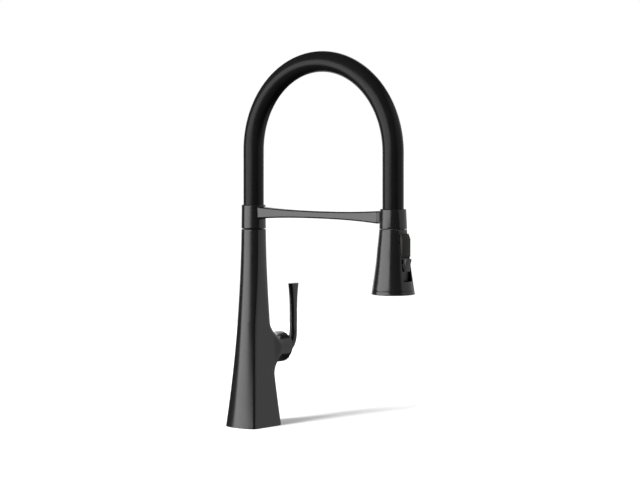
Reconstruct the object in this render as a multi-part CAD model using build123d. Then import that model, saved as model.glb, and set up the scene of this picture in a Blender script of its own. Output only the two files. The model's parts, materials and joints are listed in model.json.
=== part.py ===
from build123d import *
import os
from math import cos, radians, sin, sqrt

# A single-hole kitchen faucet with a pull-off spray head on a sprung-arch hose. Sizes are in
# millimetres. Z = 0 is the deck, the Z axis is the axis that the spout turns on, -Y is the side that
# the spray head hangs on, and +X is the side of the handle.

# Overall
body_top_z = 281.0  # seam that the spout turns at
hub_top_z = 316.0
reach = 250.0  # spout axis to spray head axis
arch_r = reach / 2
spring_line_z = 394.0  # where the straight legs of the hose meet its arch
seam_gap = 0.8  # shadow gap between parts that turn on each other

# Body casting
wall = 3.0
side_bulge = 0.58  # at the deck; 1 makes the sides part of a circle
bulge_end_z = 150.0
corner_r = 2.5  # rounds the long edges between the flats and the sides
flat_y_top = 17.45
flat_y_growth = 10.25  # from the top of the flats to the deck
flat_growth_z = 150.0

# Valve boss and ball seat, on the X axis at valve_z
valve_z = 109.0
boss_r = 22.0
boss_end_x = 61.0
flare_r = 20.0  # sweep that blends the boss into the body
flare_end_top_x = 43.5
flare_end_bottom_x = 47.0
manifold_r = 17.2
manifold_x = (-14.0, 43.4)
ball_x = 58.0  # centre that the handle tilts about, by up to 20 degrees
ball_r = 20.4
ball_wall = 2.2
ball_bore_r = 20.8
ball_rim_x = 50.0
ball_solid_x = 69.5  # the cap is solid beyond this
carrier_r = 9.0
screw_x = 66.7

# Water ways
tube_r = 5.0
tube_bore_r = 3.8
inlet_x = 6.0
inlet_y = 10.0
inlet_r = 4.5
stud_x = 22.0
stud_r = 3.4
plate_z = 8.0
plate_screw_x = -10.0
plate_screw_y = 16.0

# Swivel
spigot_r = 12.0
spigot_seat_r = 14.3
spigot_seat_z = 262.0
spigot_top_z = 303.0
swivel_bore_r = 14.0
hub_core_r = 15.6
running_gap = 0.05  # radial, for parts that turn on each other

# Hose
hose_r = 14.6
hose_wall = 3.0
core_r = 11.5
core_wall = 2.0
water_r = 7.5
water_wall = 2.5
hose_end_z = 311.0
barb_top_z = 331.0
barb_r = 9.3

# Arm
arm_z = 305.0
arm_start_y = 12.0
arm_end_y = 228.0
arm_half_height = (5.1, 8.7)  # middle, ends
arm_half_width = (5.4, 9.0)
arm_swell_power = 2.3
arm_corner_r = 2.2
magnet_r = 6.0
magnet_depth = 4.0

# Spray head, about its own axis; the profile is (height, radius)
collar_bottom_z = 290.0
collar_top_z = 317.0
collar_r = (19.0, 17.9)  # bottom, top
spray_bottom_z = 200.8
ring_top_z = 206.0
spray_profile = [(206.3, 28.9), (230.0, 25.4), (246.0, 23.3), (263.0, 21.7), (279.0, 19.9), (289.2, 19.0)]
spray_wall = 2.0
core_neck_r = 13.9
core_body_r = 14.5
swivel_r = 8.0

# Control panel on the front of the head; "out" is the distance from the head's axis
panel_half_width = 9.5
panel_z = (219.0, 285.0)
panel_back_out = 15.4
panel_floor_out = (20.0, 17.0)  # under the toggle, under the button
panel_step_z = 251.0
button_half_width = 9.1
button_z = (252.2, 276.5, 283.5)  # bottom, start of the sloped top, end of it
button_out = (18.8, 22.9)
plunger_z = 264.0
plunger_r = 2.0
toggle_half_width = 5.9
toggle_pin = (21.8, 240.0)  # out, height
toggle_pin_r = 1.2
toggle_profile = [(22.7, 249.8), (27.0, 249.8), (26.6, 247.2), (24.9, 240.0), (24.0, 232.6),
                  (20.6, 232.6), (20.6, 240.0)]
valve_out = 10.6  # the mode valve, in a chamber of the water body
valve_chamber_r = 3.0
valve_ball_r = 2.6


def body_r(z):
    """Outer radius of the flared body."""
    return 40.6 - 0.1523 * z + 0.00025 * z**2


def flat_y(z):
    """Half the depth between the front and back flats."""
    return flat_y_top + flat_y_growth * max(0.0, 1 - z / flat_growth_z) ** 1.35


def tube(r_out, r_in, z0, z1):
    """A ring or tube about Z."""
    solid = Pos(0, 0, z0) * Cylinder(r_out, z1 - z0, align=(Align.CENTER, Align.CENTER, Align.MIN))
    return solid - rod(r_in, z0, z1) if r_in else solid


def rod(r, z0, z1):
    """A plain cylinder about Z."""
    return tube(r, 0, z0, z1)


def turned(points):
    """A solid turned about Z from (radius, height) points."""
    return revolve(make_face(Plane.XZ * Polyline(*points, close=True)), Axis.Z)


def along_x(solid):
    """Lays a solid made about Z along the valve axis."""
    return Pos(0, 0, valve_z) * Rot(0, 90, 0) * solid


def outward(solid, z):
    """Lays a solid made about Z so that it points out of the front of the spray head."""
    return Pos(0, -reach, z) * Rot(90, 0, 0) * solid


def at_head(solid):
    """Moves a solid made about Z to the spray head's axis."""
    return Pos(0, -reach, 0) * solid


def front_block(half_width, points):
    """A prism across the spray head from (out, height) points."""
    face = make_face(Plane.YZ * Polyline(*[(-reach - out, z) for out, z in points], close=True))
    return extrude(face, half_width, both=True)


def front_box(half_width, out, z):
    return front_block(half_width, [(out[0], z[0]), (out[1], z[0]), (out[1], z[1]), (out[0], z[1])])


def body_form(inset):
    """The flared body, moved inwards by inset, with its flats cut."""
    sections = []
    for z in (0, 35, 70, 105, 140, 175, 210, 245, body_top_z):
        outer, flat = body_r(z), flat_y(z)
        corner = sqrt(outer**2 - flat**2)
        side = corner + (outer - corner) * (side_bulge + (1 - side_bulge) * min(z / bulge_end_z, 1))
        depth = flat / sqrt(1 - (corner / side) ** 2)
        sections.append(Plane.XY.offset(z) * Ellipse(side - inset, depth - inset))
    heights = (0, 30, 60, 90, 120, flat_growth_z, 215, body_top_z)
    front = [(flat_y(z) - inset, z) for z in heights]
    back = [(-y, z) for y, z in reversed(front)]
    profile = Spline(*front) + Line(front[-1], back[0]) + Spline(*back) + Line(back[-1], front[0])
    return loft(sections) & extrude(make_face(Plane.YZ * profile), 60, both=True)


def flare(x, end_x):
    """How far the boss has swept out from its own radius at x."""
    away = min(max(end_x - x, 0), flare_r)
    return flare_r - sqrt(flare_r**2 - away**2)


def boss_form():
    """The valve boss, swept out above and below where it meets the body."""
    sections = []
    for x in (10, 20, 24, 28, 32, 36, 40, 44, 48, boss_end_x):
        up = boss_r + flare(x, flare_end_top_x)
        down = boss_r + flare(x, flare_end_bottom_x)
        place = Plane(origin=(x, 0, valve_z + (up - down) / 2), x_dir=(0, 1, 0), z_dir=(1, 0, 0))
        deep = boss_r - (boss_r - 19.2) * min(max((flare_end_bottom_x - x) / 24, 0), 1)
        sections.append(place * Ellipse(deep, (up + down) / 2))
    return loft(sections)


def slice_z(z0, z1):
    """A block that keeps what lies between two heights."""
    return Pos(0, 0, (z0 + z1) / 2) * Box(160, 160, z1 - z0)


def ring(r, thick, z):
    """An O-ring about Z: r is the middle of its section."""
    return Pos(0, 0, z) * Torus(r, thick / 2)


def body_shell():
    form = body_form(0)
    shell = fillet([e for e in form.edges() if e.length > 200], corner_r) + boss_form()
    shell -= body_form(wall) & slice_z(-1, spigot_seat_z)
    for side in (-1, 1):
        lug = Pos(plate_screw_x, side * 21, plate_z + 5) * Box(9, 18, 10)
        shell += lug & body_form(wall / 2)
        shell -= Pos(plate_screw_x, side * plate_screw_y, 0) * rod(2.0, plate_z - 1, plate_z + 9)
    shell -= along_x(rod(manifold_r + 0.05, manifold_x[0] - 1, manifold_x[1]))
    shell -= along_x(rod(ball_bore_r, manifold_x[1], boss_end_x + 1))
    shell -= rod(spigot_seat_r + 0.06, spigot_seat_z - 1, body_top_z + 1)
    shell -= tube(30, body_r(body_top_z) - 0.8, body_top_z - 0.6, body_top_z + 1)
    return shell


def base_plate():
    """Closes the body's underside, with the supply inlets and the stud holes."""
    plate = (body_form(wall + 0.15) & slice_z(1.8, plate_z)) + (body_form(wall + 3.2) & slice_z(0, 1.8))
    for side in (-1, 1):
        plate -= Pos(inlet_x, side * inlet_y, 0) * rod(inlet_r, -1, 6)
        plate -= Pos(inlet_x, side * inlet_y, 0) * rod(tube_r + 0.02, 6, plate_z + 1)
        plate -= Pos(side * stud_x, 0, 0) * rod(stud_r, -1, plate_z + 1)
        plate -= Pos(plate_screw_x, side * plate_screw_y, 0) * rod(2.1, -1, plate_z + 1)
        plate -= Pos(plate_screw_x, side * plate_screw_y, 0) * rod(3.7, -1, 3.0)
    return plate


def base_screws():
    """Two countersunk-depth screws that hold the base plate to the casting."""
    screw = rod(1.95, 2.9, plate_z + 8) + (rod(3.6, 0.4, 2.9) - rod(1.4, 0.3, 2.0))
    return Compound([Pos(plate_screw_x, side * plate_screw_y, 0) * screw for side in (-1, 1)])


def base_gasket():
    return (body_form(wall + 0.3) - body_form(wall + 3.0)) & slice_z(0, 1.7)


def valve_block():
    """Manifold: the supply rises into its underside, and mixed water leaves by its top."""
    block = rod(manifold_r, *manifold_x)
    block -= rod(14.0, 32.0, 41.0)
    block -= rod(16.0, 40.0, manifold_x[1] + 1)
    for y, up in cartridge_ports:
        block -= Pos(-up, y, 0) * rod(port_r, -2.0, 33)
        block -= Pos(-up, y, 0) * rod(seal_r + 0.05, 30.8, 33)
    block = along_x(block)
    for side in (-1, 1):
        block -= Pos(inlet_x, side * inlet_y, 0) * rod(tube_r + 0.02, 60, 97)
        block -= Pos(inlet_x, side * inlet_y, 0) * rod(tube_bore_r, 96, valve_z)
    block -= rod(tube_bore_r, valve_z + 4, valve_z + 13)
    block -= rod(tube_r + 0.02, valve_z + 12, valve_z + 30)
    return block


def supply_tube(side):
    return Pos(inlet_x, side * inlet_y, 0) * tube(tube_r, tube_bore_r, 6, 97)


def outlet_tube():
    return tube(tube_r, tube_bore_r, valve_z + 12, spigot_seat_z + 4)


def cartridge_base():
    base = rod(13.9, 32.0, 36.0)
    for y, up in cartridge_ports:
        base -= Pos(-up, y, 0) * rod(port_r, 31, 37)
    return along_x(base)


def cartridge_seals():
    return Compound([along_x(Pos(-up, y, 0) * tube(seal_r, port_r, 30.8, 32.0)) for y, up in cartridge_ports])


def fixed_disc():
    disc = rod(10.5, 36.0, 39.0)
    for y, up in cartridge_ports:
        disc -= Pos(-up, y, 0) * rod(port_r - 0.2, 35, 40)
    return along_x(disc)


def cartridge_housing():
    """Shell of the cartridge: a flange that the bonnet nut presses on, and a neck for the carrier."""
    points = [(10.6, 36.0), (13.9, 36.0), (13.9, 40.0), (11.9, 40.0), (11.9, 59.5),
              (carrier_r + running_gap, 59.5), (carrier_r + running_gap, 49.6), (10.6, 49.6)]
    return along_x(turned(points))


def bonnet_nut():
    """Ring nut with four key slots in its face."""
    nut = tube(15.9, 12.1, 40.0, 43.2)
    for turn in (0, 90):
        nut -= Rot(0, 0, turn) * Pos(0, 0, 42.8) * Box(40, 3, 2)
    return along_x(nut)


def swivel_spigot():
    spigot = rod(spigot_seat_r, spigot_seat_z, body_top_z) + rod(spigot_r, body_top_z, spigot_top_z)
    spigot -= rod(tube_r + 0.02, spigot_seat_z - 1, spigot_seat_z + 4)
    spigot -= rod(4.5, spigot_seat_z, spigot_top_z + 1)
    for z in seal_heights:
        spigot -= tube(spigot_r + 1, spigot_r - 0.7, z - 1.4, z + 1.4)
    spigot -= tube(spigot_r + 1, spigot_r - 1.2, hub_screw_z - 1.7, hub_screw_z + 1.7)
    return spigot


def swivel_bushes():
    """Two plain bushes on the spigot; the hub turns on their outside."""
    outer = swivel_bore_r - running_gap
    return Compound([tube(outer, spigot_r + 0.01, z, z + high) for z, high in ((282.2, 4.8), (300.0, 2.8))])


def swivel_seals():
    return Compound([ring(spigot_r + 0.65, 2.6, z) for z in seal_heights])


def stem_carrier():
    """Turns in the cartridge's neck for temperature, and carries the pin that the stem tilts on."""
    carrier = rod(carrier_r, 50.0, 60.4) - Pos(0, 0, 55.2) * Box(13.0, 5.2, 12)
    carrier -= Pos(0, 0, ball_x) * Rot(90, 0, 0) * rod(1.0, -12, 12)
    return along_x(carrier)


def stem_pin():
    return along_x(Pos(0, 0, ball_x) * Rot(90, 0, 0) * rod(1.0, -8.5, 8.5))


def lever_stem():
    """Spindle: a ball end in the disc carrier, a pin hole at the tilt centre, a square end outside."""
    stem = Pos(0, 0, (50.0 + ball_solid_x) / 2) * Box(5.6, 4.8, ball_solid_x - 50.0)
    stem += Pos(0, 0, 46.2) * Sphere(2.3) + rod(1.9, 46.2, 50.5)
    stem -= Pos(0, 0, ball_x) * Rot(90, 0, 0) * rod(1.0 + running_gap, -12, 12)
    return along_x(stem)


def disc_carrier():
    return along_x(rod(6.4, 41.6, 47.2) - rod(2.6, 43.6, 48.0))


def moving_disc():
    """Ceramic disc with the mixing pocket in its face."""
    return along_x(rod(6.4, 39.02, 41.6) - Pos(0, 0, 38) * Box(6.0, 8.0, 4.0))


def lever_section(x, z, lean, wide, thick):
    """An oval across the lever: lean turns it from facing out of the boss to facing up."""
    place = Plane(origin=(x, 0, z), x_dir=(0, 1, 0), z_dir=(cos(radians(lean)), 0, sin(radians(lean))))
    return place * Ellipse(wide / 2, thick / 2)


def ball_arc(r, x0, x1):
    """Arc of the ball's profile, in the (radius, X) plane, between two stations on the X axis."""
    points = [(sqrt(max(r**2 - (x - ball_x) ** 2, 0)), x) for x in (x0, (x0 + x1) / 2, x1)]
    return ThreePointArc(*points)


def handle_lever():
    """The ball cap with its swan-necked lever, in one casting."""
    inner_r = ball_r - ball_wall
    outside = ball_arc(ball_r, ball_rim_x, ball_x + ball_r)
    inside = ball_arc(inner_r, ball_solid_x, ball_rim_x)
    profile = outside + Polyline(outside @ 1, (0, ball_x + 5.9), (6.5, ball_x + 5.9), (6.5, ball_solid_x), inside @ 0)
    profile += inside + Line(inside @ 1, outside @ 0)
    cap = along_x(revolve(make_face(Plane.XZ * profile), Axis.Z))
    cap += loft([lever_section(*s) for s in lever_neck]) + loft([lever_section(*s) for s in lever_grip])
    cap -= Pos(ball_solid_x - 4, 0, valve_z) * Box(8.0, 4.82, 5.62)
    return cap - Pos(screw_x, 0, 0) * rod(1.5, valve_z - 22, valve_z - 2)


def handle_screw():
    screw = rod(1.48, valve_z - 9.4, valve_z - 2.85) - rod(0.8, valve_z - 9.5, valve_z - 7)
    return Pos(screw_x, 0, 0) * screw


def screw_plug():
    """Closes the screw hole under the cap."""
    low = valve_z - sqrt(ball_r**2 - (screw_x - ball_x) ** 2)
    return Pos(screw_x, 0, 0) * rod(1.45, low + 0.1, low + 2.0)


def hose_path(front):
    """Half of the hose's route: up one leg and round to the top of the arch."""
    y = -reach if front else 0
    top = (0, -arch_r, spring_line_z + arch_r)
    return y, top


def hose_layer(r_out, r_in, start_z, front):
    """One layer of the hose, from start_z up its leg to the top of the arch."""
    y, top = hose_path(front)
    lean = arch_r * sin(radians(45))
    middle = (0, -arch_r + (lean if not front else -lean), spring_line_z + lean)
    route = Line((0, y, start_z), (0, y, spring_line_z)) + ThreePointArc((0, y, spring_line_z), middle, top)
    section = Plane.XY.offset(start_z) * Pos(0, y, 0) * (Circle(r_out) - Circle(r_in))
    return sweep(section, path=route)


def ferrule(flange_r, z0, z1):
    """Hose end: a flange that seats in the hub or collar, and a barb inside the support tube."""
    body = rod(flange_r, z0, z1) + rod(barb_r, z1, barb_top_z)
    body -= rod(5.0, z0 - 1, barb_top_z)
    return body - rod(water_r + 0.05, 313.0, barb_top_z + 1)


def hub_core():
    core = rod(hub_core_r, body_top_z + seam_gap, hose_end_z)
    core -= rod(swivel_bore_r, body_top_z, spigot_top_z) + rod(6.2, spigot_top_z, 306.0)
    core -= rod(13.02, 306.0, hose_end_z + 1)
    return core - hub_screw_hole()


def hub_screw_hole():
    return Pos(0, 0, hub_screw_z) * Rot(-90, 0, 0) * rod(hub_screw_r + 0.03, 8, 20)


def hub_screw():
    """Grub screw that runs in the spigot's groove and keeps the spout from lifting off."""
    screw = rod(hub_screw_r, spigot_r - 0.8, 16.6) - rod(0.7, 15.2, 17)
    return Pos(0, 0, hub_screw_z) * Rot(-90, 0, 0) * screw


def arm_station(t):
    """Half height and half width of the arm at t, from -1 at the hub to 1 at the dock."""
    swell = abs(t) ** arm_swell_power
    return [low + (high - low) * swell for low, high in (arm_half_height, arm_half_width)]


def docking_arm():
    """The arm and the sleeve that turns with the spout, in one casting."""
    sections = []
    for t in (-1, -0.8, -0.5, 0, 0.5, 0.8, 1):
        high, wide = arm_station(t)
        y = -(arm_start_y + arm_end_y) / 2 - t * (arm_end_y - arm_start_y) / 2
        place = Plane(origin=(0, y, arm_z), x_dir=(1, 0, 0), z_dir=(0, -1, 0))
        sections.append(place * RectangleRounded(2 * wide, 2 * high, arm_corner_r))
    sleeve = turned([(hub_core_r, body_top_z + seam_gap), (17.0, body_top_z + seam_gap),
                     (17.6, body_top_z + seam_gap + 0.6), (17.2, hub_top_z - 0.8), (16.4, hub_top_z),
                     (hose_r + 0.1, hub_top_z), (hose_r + 0.1, hose_end_z), (hub_core_r, hose_end_z)])
    arm = loft(sections) - rod(hub_core_r, body_top_z, hose_end_z) - rod(hose_r + 0.1, hose_end_z, 330)
    arm = arm + sleeve - hub_screw_hole()
    return arm - outward(rod(magnet_r + 0.02, magnet_seat, magnet_seat + magnet_depth + 1), arm_z)


def dock_magnet():
    return outward(rod(magnet_r, magnet_seat, magnet_seat + magnet_depth), arm_z)


def dock_pad():
    """Pad on the arm's end, hollowed to fit round the collar."""
    pad = Pos(0, -(arm_end_y + 3), arm_z) * Box(17.6, 6.0, 16.4)
    pad = fillet(pad.edges().filter_by(Axis.Y), 2.0)
    return pad - at_head(rod(collar_r[0] - 0.2, 290, 320))


def dock_collar():
    points = [(16.2, collar_bottom_z), (18.4, collar_bottom_z), (collar_r[0], collar_bottom_z + 0.6),
              (collar_r[1], collar_top_z - 0.8), (17.1, collar_top_z), (hose_r + 0.1, collar_top_z),
              (hose_r + 0.1, hose_end_z), (barb_r + 0.05, hose_end_z), (barb_r + 0.05, 309.0), (16.2, 309.0)]
    return at_head(turned(points))


def striker_ring():
    """Steel ring that the dock's magnet holds."""
    return at_head(tube(16.1, 14.3, 298.0, 308.9))


def front_ferrule():
    """Hose end with the swivel spigot that the spray head turns on."""
    body = ferrule(14.2, 303.0, 308.9) + rod(swivel_r, 266.0, 303.0)
    body -= rod(4.4, 265, 310)
    for z in head_seal_heights:
        body -= tube(swivel_r + 1, swivel_r - 2.0, z - 1.1, z + 1.1)
    return at_head(body - tube(swivel_r + 1, swivel_r - 0.8, clip_z, clip_z + 1.3))


def head_seals():
    return at_head(Compound([ring(swivel_r - 0.95, 1.94, z) for z in head_seal_heights]))


def swivel_clip():
    """Open snap ring on the end of the spigot."""
    clip = tube(9.9, swivel_r - 0.75, clip_z + 0.05, clip_z + 1.25)
    return at_head(clip - Pos(0, 9, clip_z) * Box(5, 6, 4))


def shell_profile(inset):
    return [(r - inset, z) for z, r in spray_profile]


def panel_slot():
    """Clears the shell for the control panel."""
    return front_box(panel_half_width, (panel_back_out - 0.1, 40), panel_z)


def spray_shell():
    """Conical outer shell, with a web at the top that sits on the core's neck."""
    outside = Spline(*shell_profile(0))
    inside = Spline(*reversed(shell_profile(spray_wall)))
    profile = outside + Line(outside @ 1, inside @ 0) + inside + Line(inside @ 1, outside @ 0)
    shell = revolve(make_face(Plane.XZ * profile), Axis.Z)
    shell += tube(18.0, core_neck_r + 0.02, 286.0, 289.2)
    return at_head(shell) - panel_slot()


def spray_core():
    """Water body of the head, with the bore of the swivel and the chamber of the mode valve."""
    core = rod(core_body_r, 210.0, 285.9) + rod(core_neck_r, 285.9, 301.0)
    core -= rod(6.0, 209, 268.0) + rod(10.2, 264.0, 272.6) + rod(swivel_r + running_gap, 272.6, 302)
    core = at_head(core)
    core -= Pos(0, -reach - valve_out, 0) * rod(valve_chamber_r, 226.0, 254.0)
    core -= front_box(1.8, (valve_out, 16), (toggle_pin[1] - 4.5, toggle_pin[1] + 3.5))
    return core - outward(rod(plunger_r + running_gap, 3, 16), plunger_z)


def swivel_bush():
    return at_head(tube(13.5, swivel_r + 0.1, 301.0, 302.9))


def panel_insert():
    """Moulded panel that the button slides in and the toggle rocks on."""
    low, high = panel_floor_out
    panel = front_box(panel_half_width - 0.15, (panel_back_out, low), (panel_z[0] + 0.15, panel_step_z))
    panel += front_box(panel_half_width - 0.15, (panel_back_out, high), (panel_step_z, panel_z[1] - 0.15))
    for side in (-1, 1):
        ear = front_box(0.75, (low - 0.2, 23.4), (toggle_pin[1] - 3, toggle_pin[1] + 3))
        panel += Pos(side * (toggle_half_width + 1.1), 0, 0) * ear
    panel -= Pos(0, -reach - toggle_pin[0], toggle_pin[1]) * Rot(0, 90, 0) * rod(toggle_pin_r, -9, 9)
    panel -= front_box(1.8, (10, 24), (toggle_pin[1] - 4.5, toggle_pin[1] + 3.5))
    return panel - outward(rod(plunger_r + 0.3, 14, 20), plunger_z)


def spray_button():
    z0, z1, z2 = button_z
    back, face = button_out
    points = [(back, z0), (face - 0.5, z0), (face, z0 + 0.5), (face, z1), (back + 1.0, z2), (back, z2)]
    button = front_block(button_half_width, points)
    button -= outward(rod(4.2, back - 1, back + 2.0), plunger_z)
    return button


def button_plunger():
    return outward(rod(plunger_r, 8.0, button_out[0] + 2.0), plunger_z)


def button_spring():
    """Return spring between the panel's floor and the button."""
    coil = Helix(pitch=1.25, height=2.5, radius=3.2)
    wire = sweep(Plane(origin=coil @ 0, z_dir=coil % 0) * Circle(0.35), path=coil, is_frenet=True)
    return outward(Pos(0, 0, panel_floor_out[1] + 0.4) * wire, plunger_z)


def mode_toggle():
    """Rocker with a tongue that carries the mode valve."""
    toggle = front_block(toggle_half_width, toggle_profile)
    out, z = toggle_pin
    toggle += front_box(1.3, (valve_out - 1.2, 21.4), (z - 1.2, z + 1.2))
    return toggle - Pos(0, -reach - out, z) * Rot(0, 90, 0) * rod(toggle_pin_r + running_gap, -9, 9)


def toggle_pin_rod():
    out, z = toggle_pin
    return Pos(0, -reach - out, z) * Rot(0, 90, 0) * rod(toggle_pin_r, -7.6, 7.6)


def mode_valve():
    """Ball on the toggle's tongue, which closes one or the other end of its chamber."""
    z = toggle_pin[1]
    ball = Pos(0, -reach - valve_out, z) * Sphere(valve_ball_r)
    return ball - front_box(1.3, (valve_out - 1.2, valve_out + 4), (z - 1.2, z + 1.2))


def face_ring():
    """Screwed ring round the spray face."""
    points = [(27.2, spray_bottom_z), (29.2, spray_bottom_z), (29.7, spray_bottom_z + 0.6),
              (28.95, ring_top_z), (27.2, ring_top_z)]
    return at_head(turned(points))


def spray_face():
    """Face plate, with a hole for each nozzle and for the aerator."""
    plate = rod(27.1, 203.0, 206.0) + tube(26.2, 24.4, 206.0, 209.0)
    plate += tube(core_body_r, 9.1, 206.0, 210.0)
    plate -= rod(9.1, 202, 211)
    for place in nozzle_places():
        plate -= place * rod(nozzle_r, 202, 207)
    return at_head(plate)


def nozzle_places():
    for r, count in nozzle_rings:
        for i in range(count):
            yield Rot(0, 0, 360 * i / count) * Pos(r, 0, 0)


def spray_nozzles():
    """Silicone nozzles, each on the mat behind the face plate."""
    nozzle = turned([(0.5, 201.4), (0.9, 201.4), (nozzle_r - 0.02, 203.4), (nozzle_r - 0.02, 206.0), (0.5, 206.0)])
    mat = tube(23.6, 15.0, 206.0, 207.2)
    for place in nozzle_places():
        mat -= place * rod(0.5, 205, 208)
        mat += place * nozzle
    return at_head(mat)


def aerator():
    """Insert in the middle of the face, with a lattice of square cells."""
    insert = rod(9.0, 202.0, 214.0)
    insert &= rod(9.0, 202.0, 210.0) + rod(5.9, 209.0, 214.0)
    for i in range(-2, 3):
        for j in range(-2, 3):
            if i * i + j * j < 8:
                insert -= Pos(2.4 * i, 2.4 * j, 208) * Box(1.7, 1.7, 13)
    return at_head(insert)


# Values that only the inner parts use
lever_x = 89.0
cartridge_ports = [(6.5, -4.0), (-6.5, -4.0), (0.0, 6.5)]  # hot, cold, mixed: (Y, up)
port_r = 2.6
seal_r = 3.8
seal_heights = (289.5, 293.2)
hub_screw_z = 298.0
hub_screw_r = 1.25
magnet_seat = -(reach - arm_end_y + magnet_depth)
head_seal_heights = (281.0, 285.5)
clip_z = 270.0
nozzle_r = 1.3
nozzle_rings = [(17.0, 16), (21.5, 22)]
# Stations of the lever: X, Z, lean (degrees), width and thickness of the oval
lever_neck = [(68.0, 104.0, 12, 13, 17), (76.0, 106.0, 24, 13, 14.5), (83.2, 111.0, 50, 12.4, 12.6),
              (87.4, 119.5, 74, 11.4, 12.2), (88.9, 132.0, 87, 10.4, 12), (lever_x, 146.0, 90, 10, 12)]
lever_grip = [(lever_x, 146.0, 90, 10, 12), (lever_x, 166.0, 90, 9.8, 12.8), (lever_x, 183.0, 90, 10, 15.6),
              (lever_x, 198.5, 90, 10.4, 20.5)]

parts = {
    "body_shell": body_shell,
    "base_plate": base_plate,
    "base_screws": base_screws,
    "base_gasket": base_gasket,
    "valve_block": valve_block,
    "hot_supply_tube": lambda: supply_tube(1),
    "cold_supply_tube": lambda: supply_tube(-1),
    "outlet_tube": outlet_tube,
    "cartridge_base": cartridge_base,
    "cartridge_seals": cartridge_seals,
    "fixed_disc": fixed_disc,
    "cartridge_housing": cartridge_housing,
    "bonnet_nut": bonnet_nut,
    "swivel_spigot": swivel_spigot,
    "swivel_bushes": swivel_bushes,
    "swivel_seals": swivel_seals,
    "stem_carrier": stem_carrier,
    "stem_pin": stem_pin,
    "lever_stem": lever_stem,
    "disc_carrier": disc_carrier,
    "moving_disc": moving_disc,
    "handle_lever": handle_lever,
    "handle_screw": handle_screw,
    "screw_plug": screw_plug,
    "docking_arm": docking_arm,
    "dock_magnet": dock_magnet,
    "dock_pad": dock_pad,
    "hub_core": hub_core,
    "hub_screw": hub_screw,
    "rear_ferrule": lambda: ferrule(13.0, 306.0, hose_end_z),
    "hose_sleeve_rear": lambda: hose_layer(hose_r, hose_r - hose_wall, hose_end_z, False),
    "hose_core_rear": lambda: hose_layer(core_r, core_r - core_wall, hose_end_z + 0.5, False),
    "water_hose_rear": lambda: hose_layer(water_r, water_r - water_wall, 313.5, False),
    "hose_sleeve_front": lambda: hose_layer(hose_r, hose_r - hose_wall, hose_end_z, True),
    "hose_core_front": lambda: hose_layer(core_r, core_r - core_wall, hose_end_z + 0.5, True),
    "water_hose_front": lambda: hose_layer(water_r, water_r - water_wall, 313.5, True),
    "dock_collar": dock_collar,
    "striker_ring": striker_ring,
    "front_ferrule": front_ferrule,
    "head_seals": head_seals,
    "swivel_clip": swivel_clip,
    "spray_shell": spray_shell,
    "spray_core": spray_core,
    "swivel_bush": swivel_bush,
    "panel_insert": panel_insert,
    "spray_button": spray_button,
    "button_plunger": button_plunger,
    "button_spring": button_spring,
    "mode_toggle": mode_toggle,
    "toggle_pin": toggle_pin_rod,
    "mode_valve": mode_valve,
    "face_ring": face_ring,
    "spray_face": spray_face,
    "spray_nozzles": spray_nozzles,
    "aerator": aerator,
}

os.makedirs("parts", exist_ok=True)
for node, make in parts.items():
    shape = make()
    export_step(shape, f"parts/{node}.step")
    print(f"{node:20s} {shape.volume:10.1f} mm3, valid {shape.is_valid}")
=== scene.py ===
import bpy
import json
import math
import numpy as np
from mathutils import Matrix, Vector


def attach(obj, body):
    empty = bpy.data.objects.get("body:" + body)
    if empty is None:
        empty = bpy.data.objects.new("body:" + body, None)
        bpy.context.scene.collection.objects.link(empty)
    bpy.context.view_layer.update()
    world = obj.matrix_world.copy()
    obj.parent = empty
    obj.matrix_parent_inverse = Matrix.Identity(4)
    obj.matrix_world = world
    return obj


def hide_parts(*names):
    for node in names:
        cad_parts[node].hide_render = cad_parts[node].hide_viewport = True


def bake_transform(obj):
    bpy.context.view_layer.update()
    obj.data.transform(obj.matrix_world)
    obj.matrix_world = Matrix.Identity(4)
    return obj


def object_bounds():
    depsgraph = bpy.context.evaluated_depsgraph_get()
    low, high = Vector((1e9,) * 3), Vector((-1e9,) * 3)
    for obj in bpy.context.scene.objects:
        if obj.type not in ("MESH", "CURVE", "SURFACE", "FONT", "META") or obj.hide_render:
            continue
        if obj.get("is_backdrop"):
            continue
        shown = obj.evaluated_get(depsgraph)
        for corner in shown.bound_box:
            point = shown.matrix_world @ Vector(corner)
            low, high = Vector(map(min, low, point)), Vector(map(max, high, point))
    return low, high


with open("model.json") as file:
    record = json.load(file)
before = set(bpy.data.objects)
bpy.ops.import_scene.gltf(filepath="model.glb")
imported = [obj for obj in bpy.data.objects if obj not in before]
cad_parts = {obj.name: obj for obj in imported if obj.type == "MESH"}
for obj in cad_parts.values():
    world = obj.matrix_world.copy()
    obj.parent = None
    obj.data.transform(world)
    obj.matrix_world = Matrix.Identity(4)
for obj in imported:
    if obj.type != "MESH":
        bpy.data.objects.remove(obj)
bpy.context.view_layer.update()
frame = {"nodes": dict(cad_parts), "record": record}
print("faucet: frame loaded,", len(frame["nodes"]), "CAD nodes")

mm = 0.001


# camera: level, with the lens shifted down to the deck
viewpoint = {
    "place": (-2.4935, -2.1406, 0.461),
    "heading": (0.777, 0.629, 0.0),
    "lens": 129.3,
    "sensorWidth": 36,
    "shiftDown": 0.214,
    "clipStart": 0.1,
    "clipEnd": 60,
}


def setCamera():
    camera = bpy.data.objects.new("viewCamera", bpy.data.cameras.new("viewCamera"))
    bpy.context.scene.collection.objects.link(camera)
    camera.location = viewpoint["place"]
    camera.rotation_euler = Vector(viewpoint["heading"]).to_track_quat("-Z", "Y").to_euler()
    camera.data.lens = viewpoint["lens"]
    camera.data.sensor_width = viewpoint["sensorWidth"]
    camera.data.shift_y = -viewpoint["shiftDown"]
    camera.data.clip_start = viewpoint["clipStart"]
    camera.data.clip_end = viewpoint["clipEnd"]
    bpy.context.scene.camera = camera


setCamera()
print("faucet: camera set")


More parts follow.
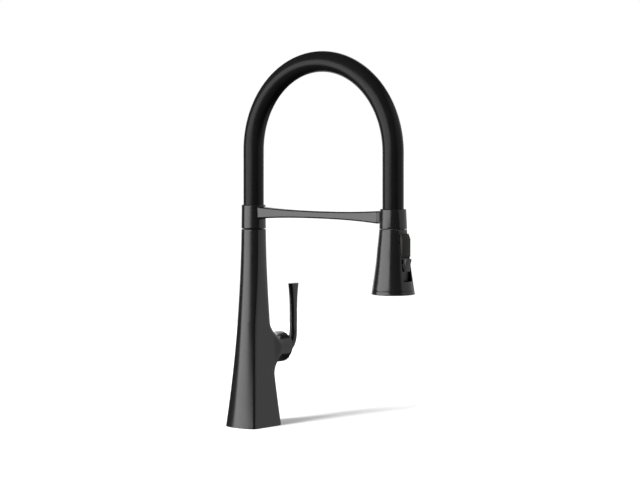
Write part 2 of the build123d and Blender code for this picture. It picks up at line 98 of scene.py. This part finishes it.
# an sRGB hex value as linear red, green and blue, with alpha 1
def toLinear(colour):
    channels = [int(colour[i:i + 2], 16) / 255 for i in (0, 2, 4)]
    return [c / 12.92 if c <= 0.04045 else ((c + 0.055) / 1.055) ** 2.4 for c in channels] + [1.0]


# settings are the node's own values; inputs are sockets' values, or another node's output to link
def addNode(tree, kind, settings=None, inputs=None):
    node = tree.nodes.new(kind)
    for name, value in (settings or {}).items():
        setattr(node, name, value)
    for name, value in (inputs or {}).items():
        if isinstance(value, bpy.types.NodeSocket):
            tree.links.new(value, node.inputs[name])
        else:
            node.inputs[name].default_value = value
    return node


# dark and light are sRGB hex values that patches of patchMm vary between, and spread is how far roughness varies.
# The coat's orange peel has its real spacing. The other grains are really about 0.1 mm or finer, and are drawn
# coarser, at grainMm, so that they show.
finishes = {
    # dip-primed and powder-coated brass and zinc: a satin black with a faint orange peel
    "powderCoatedBrass": {"dark": "0d0d0e", "light": "131314", "ior": 1.5, "metallic": 0, "roughness": 0.22,
                          "spread": 0.05, "grainMm": 1.1, "depthMm": 0.0025, "patchMm": 34},
    # silicone sleeve, extruded and dusted: dark, no sharp glints
    "extrudedSilicone": {"dark": "0a0a0a", "light": "101010", "ior": 1.24, "metallic": 0, "roughness": 0.29,
                         "spread": 0.08, "grainMm": 0.6, "depthMm": 0.004, "patchMm": 26},
    # ABS moulded in a fine spark-eroded tool
    "mouldedAbs": {"dark": "121212", "light": "1a1a1a", "ior": 1.53, "metallic": 0, "roughness": 0.42,
                   "spread": 0.07, "grainMm": 0.45, "depthMm": 0.006, "patchMm": 12},
    # soft-touch paint on ABS, warmer than the coat beside it
    "softTouchPaint": {"dark": "14110f", "light": "1c1815", "ior": 1.3, "metallic": 0, "roughness": 0.45,
                       "spread": 0.07, "grainMm": 0.4, "depthMm": 0.004, "patchMm": 9},
    # compression-moulded silicone: nozzles and seals
    "mouldedSilicone": {"dark": "161616", "light": "202020", "ior": 1.41, "metallic": 0, "roughness": 0.55,
                        "spread": 0.06, "grainMm": 0.5, "depthMm": 0.005, "patchMm": 8},
    # moulded acetal: waxy off-white
    "mouldedAcetal": {"dark": "cfcdc4", "light": "dedcd4", "ior": 1.48, "metallic": 0, "roughness": 0.38,
                      "spread": 0.08, "grainMm": 0.5, "depthMm": 0.004, "patchMm": 10},
    # turned free-cutting brass, with fine tool marks
    "turnedBrass": {"dark": "b08d4c", "light": "c9a562", "metallic": 1, "roughness": 0.28,
                    "spread": 0.12, "grainMm": 0.35, "depthMm": 0.004, "patchMm": 9},
    # brass blackened in a chemical bath, where it shows in a seam
    "blackenedBrass": {"dark": "131211", "light": "1d1b19", "ior": 1.5, "metallic": 0, "roughness": 0.5,
                       "spread": 0.1, "grainMm": 0.4, "depthMm": 0.004, "patchMm": 7},
    # drawn copper tube, a little dulled
    "drawnCopper": {"dark": "a5603f", "light": "c67d58", "metallic": 1, "roughness": 0.32,
                    "spread": 0.14, "grainMm": 0.6, "depthMm": 0.004, "patchMm": 8},
    # stainless steel wire, pins and screws, tumbled
    "tumbledSteel": {"dark": "8f9092", "light": "b0b1b3", "metallic": 1, "roughness": 0.3,
                     "spread": 0.12, "grainMm": 0.3, "depthMm": 0.003, "patchMm": 6},
    # lapped alumina: pale, dense and smooth
    "lappedAlumina": {"dark": "e0dfda", "light": "eeede8", "ior": 1.76, "metallic": 0, "roughness": 0.16,
                      "spread": 0.05, "grainMm": 0.2, "depthMm": 0.001, "patchMm": 6},
    # grey drinking-water hose
    "extrudedPolythene": {"dark": "7f8183", "light": "939597", "ior": 1.51, "metallic": 0, "roughness": 0.4,
                          "spread": 0.08, "grainMm": 0.8, "depthMm": 0.005, "patchMm": 14},
}


# noise detail and roughness of each pattern, and the part of the patches' range that moves the roughness
patterns = {"patchDetail": 4, "patchRough": 0.6, "grainDetail": 2, "grainRough": 0.5, "lowPatch": 0.3, "highPatch": 0.7}


def makeFinish(name):
    look = finishes[name]
    low, high = look["roughness"] - look["spread"] / 2, look["roughness"] + look["spread"] / 2
    material = bpy.data.materials.new(name)
    material.use_nodes = True
    tree = material.node_tree
    tree.nodes.clear()
    place = addNode(tree, "ShaderNodeTexCoord").outputs["Object"]
    patches = addNode(tree, "ShaderNodeTexNoise", {}, {
        "Vector": place, "Scale": 1 / (look["patchMm"] * mm),
        "Detail": patterns["patchDetail"], "Roughness": patterns["patchRough"]})
    grain = addNode(tree, "ShaderNodeTexNoise", {}, {
        "Vector": place, "Scale": 1 / (look["grainMm"] * mm),
        "Detail": patterns["grainDetail"], "Roughness": patterns["grainRough"]})
    colour = addNode(tree, "ShaderNodeMix", {"data_type": "RGBA"}, {"Factor": patches.outputs["Fac"]})
    colour.inputs[6].default_value = toLinear(look["dark"])
    colour.inputs[7].default_value = toLinear(look["light"])
    rough = addNode(tree, "ShaderNodeMapRange", {}, {
        "Value": patches.outputs["Fac"], "From Min": patterns["lowPatch"], "From Max": patterns["highPatch"],
        "To Min": low, "To Max": high})
    bump = addNode(tree, "ShaderNodeBump", {}, {
        "Height": grain.outputs["Fac"], "Strength": 1.0, "Distance": look["depthMm"] * mm})
    shader = addNode(tree, "ShaderNodeBsdfPrincipled", {}, {
        "Base Color": colour.outputs[2], "Roughness": rough.outputs["Result"], "Normal": bump.outputs["Normal"],
        "Metallic": look["metallic"]})
    if "ior" in look:                     # a metal keeps the default
        shader.inputs["IOR"].default_value = look["ior"]
    addNode(tree, "ShaderNodeOutputMaterial", {}, {"Surface": shader.outputs["BSDF"]})
    return material


materials = {name: makeFinish(name) for name in finishes}
# the finish of each of the record's material slots
slotFinishes = {
    "black_metal": "powderCoatedBrass", "hose_rubber": "extrudedSilicone", "seal_rubber": "mouldedSilicone",
    "black_plastic": "mouldedAbs", "button_plastic": "softTouchPaint", "valve_plastic": "mouldedAcetal",
    "brass": "turnedBrass", "copper_tube": "drawnCopper", "steel": "tumbledSteel",
    "ceramic_disc": "lappedAlumina", "water_hose": "extrudedPolythene",
}


def paint(piece, finish):
    piece.data.materials.clear()
    piece.data.materials.append(materials[finish])


for subpart in frame["record"]["subparts"]:
    paint(frame["nodes"][subpart["node"]], slotFinishes[subpart["material_slot"]])
paint(frame["nodes"]["swivel_spigot"], "blackenedBrass")   # its neck shows in the seam that the spout turns at
print("faucet: finishes laid on the CAD nodes")


# doubles nearer than weldMm are merged in a copy of a CAD mesh
weldMm = 0.002


def selectOnly(*pieces):
    bpy.ops.object.select_all(action="DESELECT")
    for piece in pieces:
        piece.select_set(True)
    bpy.context.view_layer.objects.active = pieces[0]


# a finished piece's object sits at the origin, with its place in its mesh
def keepPlace(piece):
    selectOnly(piece)
    bpy.ops.object.transform_apply(location=True, rotation=True, scale=True)


def useModifier(piece, kind, **settings):
    selectOnly(piece)
    modifier = piece.modifiers.new(kind.lower(), kind)
    for name, value in settings.items():
        setattr(modifier, name, value)
    bpy.ops.object.modifier_apply(modifier=modifier.name)


# the merged mesh of a CAD node, as a new piece to work on
def copyNode(node, name):
    piece = bpy.data.objects.new(name, frame["nodes"][node].data.copy())
    bpy.context.scene.collection.objects.link(piece)
    selectOnly(piece)
    bpy.ops.object.mode_set(mode="EDIT")
    bpy.ops.mesh.select_all(action="SELECT")
    bpy.ops.mesh.remove_doubles(threshold=weldMm * mm)
    bpy.ops.object.mode_set(mode="OBJECT")
    return piece


def finishPiece(piece, finish, body, slot, *nodes):
    keepPlace(piece)
    paint(piece, finish)
    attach(piece, body)
    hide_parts(*nodes)


def smoothByAngle(piece, degrees):
    selectOnly(piece)
    bpy.ops.object.shade_smooth_by_angle(angle=math.radians(degrees))


# a mesh's points in mm, one row each
def getPoints(piece):
    points = np.zeros(len(piece.data.vertices) * 3)
    piece.data.vertices.foreach_get("co", points)
    return points.reshape(-1, 3) / mm


def setPoints(piece, points):
    piece.data.vertices.foreach_set("co", (points * mm).ravel())
    piece.data.update()


# body casting: flared, flat-fronted, with the valve boss melted into its side; lengths in mm
casting = {
    "radius": (40.6, -0.1523, 0.00025), "height": 281.0, "wall": 3.2,
    "flatTop": 17.45, "flatGrowth": 10.25, "flatEnd": 150.0, "flatPower": 1.35, "sideBulge": 0.58,
    "bossZ": 109.0, "bossR": 22.0, "bossStart": 8.0, "bossEnd": 61.0,
    "stockWide": 0.95, "stockHigh": 0.85, "stockStations": (10, 24, 40), "stockSegments": 64,
    "filletR": 21.0, "flatOpens": 21.0, "flatRun": 30.0, "flatOpen": 26.0,
    "cornerRound": 3.0, "endRound": 0.5, "rimRound": 0.7, "seamRound": 0.8,
    "segments": 120, "stations": 40, "voxelMm": 0.85,
    "ringRounds": 12, "roughRounds": 8, "lastRounds": 6,
    "hollowSegments": 72, "hollowFrom": -2, "hollowTo": 262,
    # radius, low and high end along X of the stem's bore and the cap's bore
    "bores": ((17.25, -16, 44), (20.8, 43.4, 63)),
    "seatBore": (14.35, 261, 283), "boreSegments": 96,
    # what the last settling leaves alone: the cap's bore, the seat, and anything deeper than the skin
    "boreFrom": 43.3, "boreR": 20.9, "seatFrom": 260.9, "seatR": 14.5, "skinSide": 2.4, "skinEnd": 0.9, "skinMore": 3,
    "overrun": 2, "smoothAngle": 35,
}
# how vertices are moved to a field: half step and least slope squared of its gradient, and the longest move
settling = {"halfStep": 0.01, "leastSlope": 0.05, "longest": 2}


# the larger of a and b, rounded over where they are within reach of each other
def softMax(a, b, reach):
    h = np.clip(0.5 + 0.5 * (a - b) / reach, 0, 1)
    return b + (a - b) * h + reach * h * (1 - h)


# half-width of the sides' ellipse, its half-depth, and the flats' half-depth, at a height
def castingSection(z, inset=0.0):
    c = casting
    z = np.clip(z, -c["overrun"], c["height"] + c["overrun"])
    outer = c["radius"][0] + c["radius"][1] * z + c["radius"][2] * z * z
    flat = c["flatTop"] + c["flatGrowth"] * np.maximum(0, 1 - z / c["flatEnd"]) ** c["flatPower"]
    corner = np.sqrt(outer**2 - flat**2)
    side = corner + (outer - corner) * (c["sideBulge"] + (1 - c["sideBulge"]) * np.clip(z / c["flatEnd"], 0, 1))
    depth = flat / np.sqrt(1 - (corner / side) ** 2)
    return side - inset, depth - inset, flat - inset


# rough distance in mm outside the body's bulging sides, without the flats
def sideField(p):
    side, depth, _ = castingSection(p[:, 2])
    x, y = p[:, 0], p[:, 1]
    level = np.sqrt((x / side) ** 2 + (y / depth) ** 2) + 1e-9
    slope = np.sqrt((x / side**2) ** 2 + (y / depth**2) ** 2) / level + 1e-9
    return (level - 1) / slope


def bodyField(p):
    return softMax(sideField(p), np.abs(p[:, 1]) - castingSection(p[:, 2])[2], casting["cornerRound"])


def bossField(p):
    barrel = np.hypot(p[:, 1], p[:, 2] - casting["bossZ"]) - casting["bossR"]
    capped = softMax(barrel, p[:, 0] - casting["bossEnd"], casting["rimRound"])
    return np.maximum(capped, casting["bossStart"] - p[:, 0])


# body and boss with a rolling fillet between them, cut by flats that open out towards the boss's end
def lateralField(p):
    c = casting
    sides, boss, r = sideField(p), bossField(p), c["filletR"]
    joined = np.maximum(r, np.minimum(sides, boss)) - np.hypot(np.maximum(r - sides, 0), np.maximum(r - boss, 0))
    t = np.clip((p[:, 0] - c["flatOpens"]) / c["flatRun"], 0, 1)
    flat = castingSection(p[:, 2])[2]
    front = flat + (c["flatOpen"] - flat) * t * t * (3 - 2 * t)
    return softMax(joined, np.abs(p[:, 1]) - front, c["cornerRound"])


def castingField(p):
    whole = softMax(lateralField(p), p[:, 2] - casting["height"], casting["seamRound"])
    return softMax(whole, -p[:, 2], casting["endRound"])


# true for the points that belong to the outside, and not to a bore or the hollow
def outerSkin(p):
    c = casting
    bore = (p[:, 0] > c["boreFrom"]) & (np.hypot(p[:, 1], p[:, 2] - c["bossZ"]) < c["boreR"])
    seat = (p[:, 2] > c["seatFrom"]) & (np.hypot(p[:, 0], p[:, 1]) < c["seatR"])
    lateral = lateralField(p)
    shallow = castingField(p) > -c["skinEnd"] - c["skinMore"] * (lateral > -c["skinEnd"])
    return (lateral > -c["skinSide"]) & shallow & ~bore & ~seat


# moves each vertex straight to where the field is 0, as a file takes the high spots off a casting
def settleOn(piece, field, rounds, skin=None):
    whole = getPoints(piece)
    moving = np.ones(len(whole), bool) if skin is None else skin(whole)
    p = whole[moving]
    half, longest = settling["halfStep"], settling["longest"]
    for _ in range(rounds):
        value = field(p)
        slope = np.stack([(field(p + step) - field(p - step)) / (2 * half)
                          for step in half * np.eye(3)], axis=1)
        steep = np.maximum((slope**2).sum(1), settling["leastSlope"])
        p -= np.clip(value / steep, -longest, longest)[:, None] * slope
    whole[moving] = p
    setPoints(piece, whole)


# a closed stack of rings: (x, y, z) half-widths and height of each, in mm
def ringStack(name, segments, stations):
    bpy.ops.object.select_all(action="DESELECT")
    bpy.ops.mesh.primitive_circle_add(vertices=segments, radius=mm, fill_type="NGON",
                                      location=(0, 0, stations[0][2] * mm))
    piece = bpy.context.object
    piece.name = name
    bpy.ops.object.mode_set(mode="EDIT")
    bpy.ops.mesh.select_all(action="SELECT")
    bpy.ops.transform.resize(value=(stations[0][0], stations[0][1], 1))
    for before, after in zip(stations, stations[1:]):
        bpy.ops.mesh.extrude_region_move(TRANSFORM_OT_translate={"value": (0, 0, (after[2] - before[2]) * mm)})
        bpy.ops.transform.resize(value=(after[0] / before[0], after[1] / before[1], 1))
    bpy.ops.mesh.select_all(action="SELECT")
    bpy.ops.mesh.normals_make_consistent(inside=False)
    bpy.ops.object.mode_set(mode="OBJECT")
    keepPlace(piece)
    return piece


def castingStations(low, high, inset):
    found = []
    for z in np.linspace(low, high, casting["stations"]):
        side, _, flat = castingSection(z, inset)
        found.append((float(side), float(flat), float(z)))
    return found


# a stack made upright, laid along X at the boss's height
def layAlongX(piece):
    piece.rotation_euler = (0, math.pi / 2, 0)
    piece.location = (0, 0, casting["bossZ"] * mm)
    keepPlace(piece)
    return piece


def cutAway(piece, cutter):
    useModifier(piece, "BOOLEAN", operation="DIFFERENCE", object=cutter, solver="EXACT")
    bpy.data.objects.remove(cutter)


def makeBody():
    c = casting
    body = ringStack("bodyCasting", c["segments"], castingStations(0, c["height"], 0))
    heights = getPoints(body)[:, 2]
    settleOn(body, bodyField, c["ringRounds"])
    rings = getPoints(body)
    rings[:, 2] = heights                 # each ring stays level
    setPoints(body, rings)
    wide, high = c["bossR"] * c["stockWide"], c["bossR"] * c["stockHigh"]
    boss = layAlongX(ringStack("bossStock", c["stockSegments"],
                               [(wide, high, x) for x in (*c["stockStations"], c["bossEnd"])]))
    selectOnly(body, boss)
    bpy.ops.object.join()
    useModifier(body, "REMESH", mode="VOXEL", voxel_size=2 * c["voxelMm"] * mm)
    settleOn(body, castingField, c["roughRounds"])
    useModifier(body, "REMESH", mode="VOXEL", voxel_size=c["voxelMm"] * mm)
    hollow = ringStack("bodyHollow", c["hollowSegments"], castingStations(c["hollowFrom"], c["hollowTo"], c["wall"]))
    inner = getPoints(hollow)
    _, depth, flat = castingSection(inner[:, 2], c["wall"])
    inner[:, 1] = np.clip(inner[:, 1] / flat * depth, -flat, flat)
    setPoints(hollow, inner)
    # the cuts come before the last settling, because they fail on the settled mesh
    cutAway(body, hollow)
    for radius, low, high in c["bores"]:
        cutAway(body, layAlongX(ringStack("bossBore", c["boreSegments"],
                                          [(radius, radius, low), (radius, radius, high)])))
    radius, low, high = c["seatBore"]
    cutAway(body, ringStack("seatBore", c["boreSegments"], [(radius, radius, low), (radius, radius, high)]))
    settleOn(body, castingField, c["lastRounds"], outerSkin)
    smoothByAngle(body, c["smoothAngle"])
    finishPiece(body, "powderCoatedBrass", "fixed", "black_metal", "body_shell")
    print("faucet: body casting,", len(body.data.polygons), "faces")


makeBody()


# castings whose sharp CAD edges are fettled: remeshed, then smoothed a little
fettled = {
    "leverHandle": {
        "node": "handle_lever", "body": "handle", "voxelMm": 0.45, "passes": 4, "angle": 50,
        "flatFromZ": 122.0, "flatHalfY": 4.3, "flatFade": 14, "flatSpread": 6, "flatRound": 0.8},
    "dockingArm": {
        "node": "docking_arm", "body": "spout", "voxelMm": 0.6, "passes": 4, "angle": 45},
}


# Dresses the grip's front and back flat.
# Known fault: it reaches the ball cap as well, whose two sides it presses in to 10.3 mm from the middle.
def dressFlats(made, piece):
    p = getPoints(made)
    fade = np.clip(1 - (p[:, 2] - piece["flatFromZ"]) / piece["flatFade"], 0, 1)
    reach = piece["flatHalfY"] + piece["flatSpread"] * fade ** 2
    p[:, 1] = np.sign(p[:, 1]) * -softMax(-np.abs(p[:, 1]), -reach, piece["flatRound"])
    setPoints(made, p)


def makeFettled():
    for name, piece in fettled.items():
        made = copyNode(piece["node"], name)
        useModifier(made, "REMESH", mode="VOXEL", voxel_size=piece["voxelMm"] * mm, use_smooth_shade=True)
        useModifier(made, "SMOOTH", factor=0.5, iterations=piece["passes"])
        if "flatHalfY" in piece:
            dressFlats(made, piece)
        smoothByAngle(made, piece["angle"])
        finishPiece(made, "powderCoatedBrass", piece["body"], "black_metal", piece["node"])
        print("faucet:", name, len(made.data.polygons), "faces")


makeFettled()


# hose sleeve: one silicone tube from the hub, over the arch and down to the head
hose = {
    "radius": 14.6, "wall": 3.0, "endZ": 311.0, "springZ": 394.0, "archR": 125.0,
    "segments": 64, "turns": 96, "legSteps": 8, "weldMm": 0.01, "smoothAngle": 40,
}


# one straight leg, drawn out from the open ring that is selected
def drawLeg(rise):
    steps = hose["legSteps"]
    for _ in range(steps):
        bpy.ops.mesh.extrude_region_move(TRANSFORM_OT_translate={"value": (0, 0, rise / steps * mm)})


def makeHose():
    h = hose
    bpy.ops.object.select_all(action="DESELECT")
    bpy.ops.mesh.primitive_circle_add(vertices=h["segments"], radius=h["radius"] * mm, fill_type="NOTHING",
                                      location=(0, 0, h["endZ"] * mm))
    sleeve = bpy.context.object
    sleeve.name = "hoseSleeve"
    bpy.ops.object.mode_set(mode="EDIT")
    bpy.ops.mesh.select_all(action="SELECT")
    drawLeg(h["springZ"] - h["endZ"])
    bpy.ops.mesh.spin(steps=h["turns"], angle=math.pi, center=(0, -h["archR"] * mm, h["springZ"] * mm),
                      axis=(-1, 0, 0))
    drawLeg(h["endZ"] - h["springZ"])
    bpy.ops.mesh.select_all(action="SELECT")
    bpy.ops.mesh.remove_doubles(threshold=h["weldMm"] * mm)
    bpy.ops.mesh.normals_make_consistent(inside=False)
    bpy.ops.object.mode_set(mode="OBJECT")
    keepPlace(sleeve)
    useModifier(sleeve, "SOLIDIFY", thickness=h["wall"] * mm, offset=-1)
    smoothByAngle(sleeve, h["smoothAngle"])
    paint(sleeve, "extrudedSilicone")
    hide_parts("hose_sleeve_rear", "hose_sleeve_front")
    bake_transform(sleeve)


makeHose()
print("faucet: hose sleeve over the arch")


# machined and moulded parts: the CAD shape, with its edges broken
edging = {"flatAngle": 0.5, "edgeAngle": 35, "smoothAngle": 32, "segments": 3}
edged = {
    "headCollar": {"node": "dock_collar", "body": "head", "slot": "black_metal", "edgeMm": 0.3},
    "sprayShell": {"node": "spray_shell", "body": "spray", "slot": "black_metal", "edgeMm": 0.3},
    "faceRing": {"node": "face_ring", "body": "spray", "slot": "black_metal", "edgeMm": 0.25},
    "dockPad": {"node": "dock_pad", "body": "spout", "slot": "black_plastic", "edgeMm": 0.4},
    "controlPanel": {"node": "panel_insert", "body": "spray", "slot": "black_plastic", "edgeMm": 0.25},
    "sprayButton": {"node": "spray_button", "body": "button", "slot": "button_plastic", "edgeMm": 0.6},
    "modeToggle": {"node": "mode_toggle", "body": "toggle", "slot": "black_plastic", "edgeMm": 0.4},
    "facePlate": {"node": "spray_face", "body": "spray", "slot": "black_plastic", "edgeMm": 0.15},
}


def makeEdged():
    for name, piece in edged.items():
        made = copyNode(piece["node"], name)
        bpy.ops.object.mode_set(mode="EDIT")
        bpy.ops.mesh.select_all(action="SELECT")
        bpy.ops.mesh.dissolve_limited(angle_limit=math.radians(edging["flatAngle"]))
        bpy.ops.object.mode_set(mode="OBJECT")
        useModifier(made, "BEVEL", width=piece["edgeMm"] * mm, segments=edging["segments"], limit_method="ANGLE",
                    angle_limit=math.radians(edging["edgeAngle"]), use_clamp_overlap=True)
        smoothByAngle(made, edging["smoothAngle"])
        finishPiece(made, slotFinishes[piece["slot"]], piece["body"], piece["slot"], piece["node"])
        print("faucet:", name, len(made.data.polygons), "faces")


makeEdged()


# floor and studio light
studio = {
    "floorHalf": 12.0,
    "floorGlow": 0.2,
    "floorColour": "e6e6e6",
    "ambient": 0.05,
    "sun": {"towards": (0.989, -0.146, -0.6), "strength": 6.6, "angle": 18},
    # softboxes stand round the faucet; azimuth is from the camera's side, positive to the right
    "boxDistance": 1.6, "boxHeight": 2.4, "boxCentreZ": 0.55,
    "boxes": {
        "leftBox": {"azimuth": -59.5, "width": 1.07, "radiance": 4.2},
        "rightBox": {"azimuth": 95, "width": 3.2, "radiance": 0.8},
        "backBox": {"azimuth": 180, "width": 1.2, "radiance": 1.2},
    },
}


# The floor takes the sun's shadow. Gloss and bounced light don't see it.
def makeFloor():
    bpy.ops.object.select_all(action="DESELECT")
    bpy.ops.mesh.primitive_plane_add(size=2 * studio["floorHalf"], location=(0, 0, 0))
    floor = bpy.context.object
    floor.name = "studioFloor"
    floor.visible_glossy = False
    floor.visible_diffuse = False
    material = bpy.data.materials.new("paleFloorPaint")
    material.use_nodes = True
    tree = material.node_tree
    tree.nodes.clear()
    shader = addNode(tree, "ShaderNodeBsdfPrincipled", {}, {
        "Base Color": toLinear(studio["floorColour"]), "Roughness": 1.0, "Specular IOR Level": 0.0,
        "Emission Color": (1, 1, 1, 1), "Emission Strength": studio["floorGlow"]})
    addNode(tree, "ShaderNodeOutputMaterial", {}, {"Surface": shader.outputs["BSDF"]})
    floor.data.materials.append(material)
    floor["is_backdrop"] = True


# white behind the faucet, and nearly dark for everything that it reflects
def makeWorld():
    world = bpy.data.worlds.new("studioWorld")
    bpy.context.scene.world = world
    world.use_nodes = True
    tree = world.node_tree
    tree.nodes.clear()
    rays = addNode(tree, "ShaderNodeLightPath")
    dark = addNode(tree, "ShaderNodeBackground", {}, {"Color": (1, 1, 1, 1), "Strength": studio["ambient"]})
    white = addNode(tree, "ShaderNodeBackground", {}, {"Color": (1, 1, 1, 1), "Strength": 1.0})
    mixed = addNode(tree, "ShaderNodeMixShader", {}, {
        0: rays.outputs["Is Camera Ray"], 1: dark.outputs[0], 2: white.outputs[0]})
    addNode(tree, "ShaderNodeOutputWorld", {}, {"Surface": mixed.outputs[0]})


def makeSun():
    sun = bpy.data.objects.new("keySun", bpy.data.lights.new("keySun", "SUN"))
    bpy.context.scene.collection.objects.link(sun)
    sun.rotation_euler = Vector(studio["sun"]["towards"]).to_track_quat("-Z", "Y").to_euler()
    sun.data.energy = studio["sun"]["strength"]
    sun.data.angle = math.radians(studio["sun"]["angle"])
    sun.visible_glossy = False


def makeBoxes():
    low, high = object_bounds()
    centre = (low + high) / 2
    toCamera = Vector(viewpoint["place"]) - centre
    facing = math.atan2(toCamera.y, toCamera.x)
    distance, height, centreZ = studio["boxDistance"], studio["boxHeight"], studio["boxCentreZ"]
    for name, box in studio["boxes"].items():
        light = bpy.data.objects.new(name, bpy.data.lights.new(name, "AREA"))
        bpy.context.scene.collection.objects.link(light)
        turn = facing + math.radians(box["azimuth"])
        light.location = (centre.x + distance * math.cos(turn), centre.y + distance * math.sin(turn), centreZ)
        aim = Vector((centre.x, centre.y, centreZ)) - light.location
        light.rotation_euler = aim.to_track_quat("-Z", "Z").to_euler()
        light.data.shape = "RECTANGLE"
        light.data.size = box["width"]
        light.data.size_y = height
        light.data.energy = box["radiance"] * math.pi * box["width"] * height
        light.visible_camera = False


makeFloor()
makeWorld()
makeSun()
makeBoxes()
bpy.context.scene.view_settings.view_transform = "Standard"
print("faucet: studio lit")
